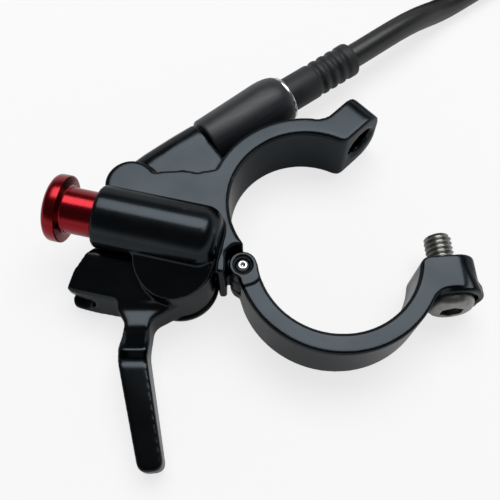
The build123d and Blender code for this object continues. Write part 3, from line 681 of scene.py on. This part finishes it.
class AddCamera(bpy.types.Operator):
    """Adds the camera at the photograph's viewing angle"""
    bl_idname = "remote.add_camera"
    bl_label = "Camera"

    def execute(self, context):
        forward = Vector(CAMERA_HEADING).normalized()
        right = (Vector((1, 0, 0)) - forward * forward.x).normalized()
        up = right.cross(forward)
        data = bpy.data.cameras.new("camera")
        data.sensor_width = 36.0
        data.lens = CAMERA_LENS
        data.clip_start = 0.005
        data.clip_end = 10.0
        camera = bpy.data.objects.new("camera", data)
        context.scene.collection.objects.link(camera)
        turn = Matrix((right, up, -forward)).transposed().to_4x4()
        camera.matrix_world = Matrix.Translation(Vector(CAMERA_AT) * MM) @ turn
        context.scene.camera = camera
        return {"FINISHED"}


class AddCable(bpy.types.Operator):
    """Adds the cable housing from the adjuster to the coil of spare cable, with its end"""
    bl_idname = "remote.add_cable"
    bl_label = "Cable housing"

    def execute(self, context):
        sizes = context.scene.remote_sizes
        gap = sizes.cord_diameter
        outer = sizes.coil_radius
        points = [cable_point(*corner) for corner in ROUTE]
        middle = cable_point(COIL_ALONG, ROUTE[-1][1] + outer, 0)
        start = math.atan2(CABLE_HEADING[1], CABLE_HEADING[0]) - math.pi / 2
        per_turn = 20
        turns = 6.5
        # Turns after which the cord steps inwards on the lower layer and outwards on the upper one,
        # and climbs from the one to the other, with the share of a turn that each takes
        steps = ((0.6, -gap), (1.6, -gap), (2.6, -gap), (3.85, gap), (4.85, gap), (5.85, gap))
        step_share = 0.25
        climb_at, climb_share = 3.15, 0.35
        for i in range(int(per_turn * turns)):
            done = (i + 0.5) / per_turn
            radius = outer + sum(way * eased((done - at) / step_share) for at, way in steps)
            height = gap / 2 + gap * eased((done - climb_at) / climb_share)
            # Control points stand outside the line that they pull
            radius /= math.cos(math.pi / per_turn)
            angle = start + done * 2 * math.pi
            points.append(middle + Vector((radius * math.cos(angle), radius * math.sin(angle), height)))
        heading = Vector(CABLE_HEADING)
        left = Vector((-heading.y, heading.x, 0))
        for run, height in TAIL:
            points.append(middle + left * outer - heading * run + Vector((0, 0, height)))
        curve = bpy.data.curves.new("cable_housing_line", "CURVE")
        curve.dimensions = "3D"
        curve.bevel_depth = gap / 2
        curve.bevel_resolution = 7
        curve.resolution_u = 4
        curve.use_fill_caps = True
        spline = curve.splines.new("NURBS")
        spline.points.add(len(points) - 1)
        for point, place in zip(spline.points, points):
            point.co = (*place, 1.0)
        spline.order_u = 3
        spline.use_endpoint_u = True
        piece = bpy.data.objects.new("cable_housing_line", curve)
        context.scene.collection.objects.link(piece)
        finish_piece(piece, "body", "housing_black", finish_named(extruded_housing_plastic),
                     "cable_housing", "cable_coil")
        dress_node("end_ferrule", finish_named(bright_turned_aluminium))
        dress_node("wire_tip", finish_named(bright_turned_aluminium))
        dress_node("wire_tail", finish_named(stranded_steel_wire))
        return {"FINISHED"}


class AddBody(bpy.types.Operator):
    """Adds the forged body: fixed clamp half, plate, button housing and cable boss"""
    bl_idname = "remote.add_body"
    bl_label = "Body"

    def execute(self, context):
        sizes = context.scene.remote_sizes
        profile = [(0.6, -18.6), (2.3, -18.0), (3.2, -16.6), (3.45, -14.0), (3.6, -9.0), (3.6, -5.35), (3.5, -5.15),
                   (3.3, -5.1)]
        boss = turned_piece("boss", profile, facets=72)
        stand(boss, placed(CABLE_AT, CABLE_HEADING))
        # The cheek falls away in front of the button's housing: way from its axis, and height
        along, front = Vector(BUTTON_HEADING), Vector((BUTTON_HEADING[1], -BUTTON_HEADING[0], 0))
        foot = Vector((BUTTON_AT[0], BUTTON_AT[1], 0))
        near, far = (4.3, 11.8), (10.4, 9.25)
        first, last, depth = -12, 8, 4
        lower = [foot + along * run + front * out + Vector((0, 0, height))
                 for run, (out, height) in ((first, near), (first, far), (last, far), (last, near))]
        cheek = block("cheek_slope", lower + [corner + Vector((0, 0, depth)) for corner in lower])
        piece = forged_copy("lever_body", "body_forging", sizes.body_grid, sizes.body_softness, [boss], [cheek])
        finish_piece(piece, "body", "black_alloy", finish_named(black_anodised_forging), "lever_body")
        return {"FINISHED"}


class AddStrap(bpy.types.Operator):
    """Adds the forged strap, the swinging half of the clamp"""
    bl_idname = "remote.add_strap"
    bl_label = "Clamp strap"

    def execute(self, context):
        sizes = context.scene.remote_sizes
        place = placed(BOLT_AT, BOLT_HEADING)
        # The ear's outer wall stands out further towards the bolt's head, whose seat has a raised rim
        rim_face, ear_face = -6.5, -1.4
        lean = 0.95
        seat_r, seat_floor = 3.85, -5.5
        wall = prism("ear_wall", [(-0.3, 4.88), (-2.1, 4.88), (-2.6, 4.7), (-3.1, 4.25), (-3.7, 3.1), (-4.25, 1.4),
                                  (-4.55, -0.6), (-4.55, -2.2), (-4.2, -3.7), (-3.5, -4.65), (-0.3, -4.88),
                                  (-0.3, -2.9), (-2.6, -2.2), (-2.6, 2.2), (-0.3, 2.9)], rim_face, ear_face)
        for vertex in wall.data.vertices:
            if vertex.co.z > (rim_face + ear_face) / 2 * MM:
                vertex.co.x += lean * MM
        stand(wall, place)
        seat = turned_piece("head_seat", [(0.5, -9.0), (seat_r, -9.0), (seat_r, seat_floor), (0.5, seat_floor)],
                            facets=72)
        stand(seat, place)
        cut_away(wall, seat)
        rim = turned_piece("seat_rim", [(seat_r, rim_face), (4.55, rim_face), (4.7, -6.3), (4.7, -4.8),
                                        (seat_r, -4.8)], facets=72, closed=True)
        stand(rim, place)
        piece = forged_copy("clamp_strap", "strap_forging", sizes.fine_grid, sizes.strap_softness, [wall, rim])
        finish_piece(piece, "strap", "black_alloy", finish_named(black_anodised_forging), "clamp_strap")
        return {"FINISHED"}


class AddLever(bpy.types.Operator):
    """Adds the thumb lever with its hub, arm and paddle"""
    bl_idname = "remote.add_lever"
    bl_label = "Thumb lever"

    def execute(self, context):
        sizes = context.scene.remote_sizes
        # Back of the arm, which rises under the button's housing and falls away towards the rider
        rise = prism("arm_rise", [(-1.5, -6.0), (-1.5, -4.6), (-2.6, -4.0), (-3.6, -3.15), (-4.4, -3.05),
                                  (-9.6, -4.65), (-9.6, -6.0)], -20, 2)
        stand(rise, placed(BUTTON_AT, BUTTON_HEADING))
        plan = prism("arm_plan", [(-21.0, -5.0), (-29.6, -6.2), (-30.9, -7.2), (-32.6, -9.6), (-33.5, -12.0),
                                  (-32.7, -12.7), (-30.6, -12.9), (-27.0, -13.5), (-25.5, -13.6),
                                  (-21.0, -14.0)], 4, 10)
        apply_modifier(rise, "BOOLEAN", operation="INTERSECT", solver="EXACT", object=plan)
        bpy.data.objects.remove(plan)
        # The saddle between neck and pad falls in one slope, and the pad falls away to its tip
        saddle = block("saddle_slope", [(-25.2, -20.3, 3.5), (-22.4, -20.3, 3.5), (-22.3, -17.2, 3.5),
                                        (-24.6, -17.2, 3.5), (-25.6, -20.3, 4.7), (-22.4, -20.3, 4.7),
                                        (-22.3, -17.2, 6.25), (-24.7, -17.2, 6.25)])
        fall = block("pad_fall", [(-32, -38, 4.2), (-14, -38, 4.2), (-14, -22.6, 6.42), (-32, -22.6, 6.42),
                                  (-32, -38, 9), (-14, -38, 9), (-14, -22.6, 9), (-32, -22.6, 9)])
        piece = forged_copy("lever_blade", "thumb_lever", sizes.fine_grid, sizes.lever_softness,
                            [rise, saddle], [fall])
        finish_piece(piece, "lever", "black_alloy", finish_named(black_anodised_forging), "lever_blade")
        return {"FINISHED"}


class AddButton(bpy.types.Operator):
    """Adds the turned red button"""
    bl_idname = "remote.add_button"
    bl_label = "Release button"

    def execute(self, context):
        profile = [(0.5, -18.345), (1.6, -18.32), (2.8, -18.24), (3.7, -18.12), (4.15, -17.98), (4.5, -17.76),
                   (4.66, -17.52), (4.7, -17.3), (4.7, -16.2), (4.66, -16.08), (4.56, -16.02), (4.4, -16.0),
                   (3.55, -16.0), (3.38, -15.96), (3.25, -15.84), (3.2, -15.66), (3.2, -9.4), (2.75, -8.9),
                   (2.4, -8.9), (2.3, -9.0), (2.3, -14.4), (1.03, -14.4), (1.03, -16.6)]
        piece = turned_piece("button_turned", profile, facets=128)
        stand(piece, placed(BUTTON_AT, BUTTON_HEADING))
        shade(piece, 32)
        finish_piece(piece, "button", "red_alloy", finish_named(red_anodised_aluminium), "release_button")
        dress_node("button_stem", finish_named(drawn_stainless_steel))
        spring = merged_copy("button_spring", "button_spring_wound")
        shade(spring, 60)
        finish_piece(spring, "body", "steel", finish_named(drawn_stainless_steel), "button_spring")
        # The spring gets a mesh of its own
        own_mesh(spring)
        return {"FINISHED"}


class AddBolt(bpy.types.Operator):
    """Adds the clamp bolt with its round head, hexagonal socket and thread"""
    bl_idname = "remote.add_bolt"
    bl_label = "Clamp bolt"

    def execute(self, context):
        sizes = context.scene.remote_sizes
        crest = 1.95
        root = crest - sizes.thread_depth / MM
        face_r, face_at = 2.25, -7.8
        profile = [(face_r, face_at), (2.45, -7.78), (2.8, -7.6), (3.1, -7.25), (3.3, -6.85), (3.4, -6.4),
                   (3.4, -5.62), (3.32, -5.5), (1.9, -5.5), (1.9, -1.3), (root, -1.0), (root, 3.0),
                   (root * 0.5, 3.3)]
        piece = turned_piece("clamp_bolt_body", profile, facets=72)
        add_hex_socket(piece, face_r, face_at, sizes.hex_width, depth=1.5)
        winding = thread("clamp_bolt_thread", sizes.thread_pitch, crest * MM, root * MM, bottom=-1.2 * MM,
                         top=3.5 * MM)
        join(piece, winding)
        piece.name = piece.data.name = "clamp_bolt_threaded"
        stand(piece, placed(BOLT_AT, BOLT_HEADING))
        shade(piece, 30)
        finish_piece(piece, "bolt", "zinc_steel", finish_named(zinc_plated_steel), "clamp_bolt")
        return {"FINISHED"}


class AddHingePin(bpy.types.Operator):
    """Adds the strap's hinge pin with its domed, dimpled ends"""
    bl_idname = "remote.add_hinge_pin"
    bl_label = "Hinge pin"

    def execute(self, context):
        low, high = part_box("hinge_pin")
        bottom, top = low.z / MM, high.z / MM
        # Radius, and way in from the pin's end
        end = [(0.08, 0.3), (0.2, 0.16), (0.32, 0.03), (0.46, 0.0), (0.66, 0.06), (0.84, 0.2), (0.95, 0.38),
               (1.0, 0.6)]
        profile = [(r, bottom + in_by) for r, in_by in end] + [(r, top - in_by) for r, in_by in reversed(end)]
        piece = turned_piece("hinge_pin_turned", profile, facets=64)
        stand(piece, Matrix.Translation(Vector(HINGE) * MM))
        shade(piece, 60)
        finish_piece(piece, "body", "steel", finish_named(drawn_stainless_steel), "hinge_pin")
        return {"FINISHED"}


class AddAdjuster(bpy.types.Operator):
    """Adds the adjuster's sleeve, its bright band and the boot over the housing"""
    bl_idname = "remote.add_adjuster"
    bl_label = "Cable adjuster"

    def execute(self, context):
        place = placed(CABLE_AT, CABLE_HEADING)
        sleeve = turned_piece("adjuster_sleeve", [
            (2.23, -4.8), (3.6, -4.8), (3.78, -4.75), (3.88, -4.62), (3.92, -4.4), (4.1, 0.0), (4.36, 5.6),
            (4.4, 6.6), (4.37, 7.5), (4.28, 8.3), (4.12, 9.0), (3.95, 9.45), (3.8, 9.68), (3.6, 9.8), (2.85, 9.8),
            (2.85, 8.6), (2.45, 8.6), (2.45, 1.4), (2.23, 1.4)], facets=128, closed=True)
        stand(sleeve, place)
        shade(sleeve, 32)
        finish_piece(sleeve, "adjuster", "adjuster_black", finish_named(satin_black_sleeve), "barrel_adjuster")
        band = turned_piece("adjuster_band", [
            (2.85, 9.8), (3.58, 9.8), (3.6, 9.85), (3.6, 10.12), (3.54, 10.25), (3.42, 10.3), (2.95, 10.3),
            (2.85, 10.2)], facets=128, closed=True)
        stand(band, place)
        shade(band, 32)
        finish_piece(band, "adjuster", "bright_alloy", finish_named(bright_turned_aluminium), "adjuster_ring")
        # The boot is smooth up to its ribs and ends in a plain collar
        end, collar = 23.7, 1.2
        ribs, pitch = 4, 1.7
        first = end - collar - pitch * ribs
        profile = [(2.05, 8.9), (2.7, 8.9), (2.8, 9.0)]
        for rib in range(ribs):
            at = first + rib * pitch
            profile += [(2.8, at), (2.77, at + 0.12), (2.66, at + 0.32), (2.55, at + 0.52), (2.52, at + 0.68),
                        (2.55, at + 0.84), (2.66, at + 1.04), (2.77, at + 1.24), (2.8, at + 1.36)]
        profile += [(2.8, 23.3), (2.74, 23.52), (2.58, 23.66), (2.4, end), (2.05, end)]
        boot = turned_piece("ferrule_boot_ribbed", profile, closed=True)
        stand(boot, place)
        shade(boot, 32)
        finish_piece(boot, "body", "boot_rubber", finish_named(moulded_rubber_boot), "ferrule_boot")
        dress_node("adjuster_screw", finish_named(black_oxide_steel))
        dress_node("housing_ferrule", finish_named(bright_turned_aluminium))
        return {"FINISHED"}


class AddInnerParts(bpy.types.Operator):
    """Finishes the pivot's bolt, bushings and spring, the wire with its head and guide, and the stop pin"""
    bl_idname = "remote.add_inner_parts"
    bl_label = "Pivot and wire"

    def execute(self, context):
        wire = merged_copy("inner_wire", "inner_wire_strands")
        shade(wire, 60)
        wire.data.materials.append(finish_named(stranded_steel_wire))
        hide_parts("inner_wire")
        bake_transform(wire)
        for node, maker in (("pivot_bolt", black_oxide_steel), ("pivot_bushing_upper", acetal_bearing_plastic),
                            ("pivot_bushing_lower", acetal_bearing_plastic), ("cable_guide", acetal_bearing_plastic),
                            ("return_spring", drawn_stainless_steel), ("stop_pin", drawn_stainless_steel),
                            ("cable_nipple", zinc_plated_steel)):
            dress_node(node, finish_named(maker))
        return {"FINISHED"}


class AddStage(bpy.types.Operator):
    """Adds the pale floor, the softbox and the white surroundings"""
    bl_idname = "remote.add_stage"
    bl_label = "Stage"

    def execute(self, context):
        bpy.ops.object.select_all(action="DESELECT")
        just_under = -0.05 * MM
        bpy.ops.mesh.primitive_circle_add(vertices=96, radius=1.2, fill_type="NGON", location=(0, 0, just_under))
        floor = bpy.context.object
        floor.name = floor.data.name = "floor"
        bpy.ops.object.mode_set(mode="EDIT")
        bpy.ops.mesh.select_all(action="SELECT")
        bpy.ops.mesh.inset(thickness=0.4, depth=0)
        bpy.ops.object.mode_set(mode="OBJECT")
        bpy.ops.object.transform_apply(location=True, rotation=True, scale=True)
        floor.data.materials.append(finish_named(white_paper_floor))
        light = bpy.data.lights.new("softbox_above", "AREA")
        light.shape = "RECTANGLE"
        light.size, light.size_y = SOFTBOX_SIDES
        light.energy = SOFTBOX_POWER
        lamp = bpy.data.objects.new("softbox_above", light)
        context.scene.collection.objects.link(lamp)
        lamp.location = SOFTBOX_AT
        lamp.rotation_euler = (-Vector(SOFTBOX_AT)).to_track_quat("-Z", "Y").to_euler()
        world = bpy.data.worlds.new("surroundings")
        world.use_nodes = True
        tree = world.node_tree
        tree.nodes.clear()
        way = add_node(tree, "ShaderNodeTexCoord").outputs["Generated"]
        rise = add_node(tree, "ShaderNodeSeparateXYZ", {"Vector": way}).outputs["Z"]
        # White paper all round, up to a few degrees over the floor, fades into a dim ceiling at a third of
        # the way up
        strength = add_node(tree, "ShaderNodeMapRange", {"Value": rise, "From Min": 0.12, "From Max": 0.48,
                                                         "To Min": 1.0, "To Max": 0.1},
                            interpolation_type="SMOOTHSTEP").outputs["Result"]
        glow = add_node(tree, "ShaderNodeBackground", {"Color": (1, 1, 1, 1), "Strength": strength})
        add_node(tree, "ShaderNodeOutputWorld", {"Surface": glow.outputs[0]})
        context.scene.world = world
        context.scene.view_settings.view_transform = "Standard"
        return {"FINISHED"}


class RemotePanel(bpy.types.Panel):
    """Lists the pieces of the remote lever and their sizes and colours"""
    bl_idname = "VIEW3D_PT_remote_lever"
    bl_label = "Remote Lever"
    bl_space_type = "VIEW_3D"
    bl_region_type = "UI"
    bl_category = "Remote Lever"

    def draw(self, context):
        for operator in OPERATORS:
            self.layout.operator(operator.bl_idname)
        for group in (context.scene.remote_sizes, context.scene.remote_colours):
            column = self.layout.column()
            for key in group.__annotations__:
                column.prop(group, key)


OPERATORS = (AddCamera, AddCable, AddBody, AddStrap, AddLever, AddButton, AddBolt, AddHingePin, AddAdjuster,
             AddInnerParts, AddStage)
CLASSES = (RemoteSizes, RemoteColours, *OPERATORS, RemotePanel)


def register():
    for kind in CLASSES:
        bpy.utils.register_class(kind)
    bpy.types.Scene.remote_sizes = bpy.props.PointerProperty(type=RemoteSizes)
    bpy.types.Scene.remote_colours = bpy.props.PointerProperty(type=RemoteColours)


def unregister():
    del bpy.types.Scene.remote_colours
    del bpy.types.Scene.remote_sizes
    for kind in reversed(CLASSES):
        bpy.utils.unregister_class(kind)


def main():
    register()
    for operator in OPERATORS:
        group, name = operator.bl_idname.split(".")
        getattr(getattr(bpy.ops, group), name)()


if __name__ == "__main__":
    main()
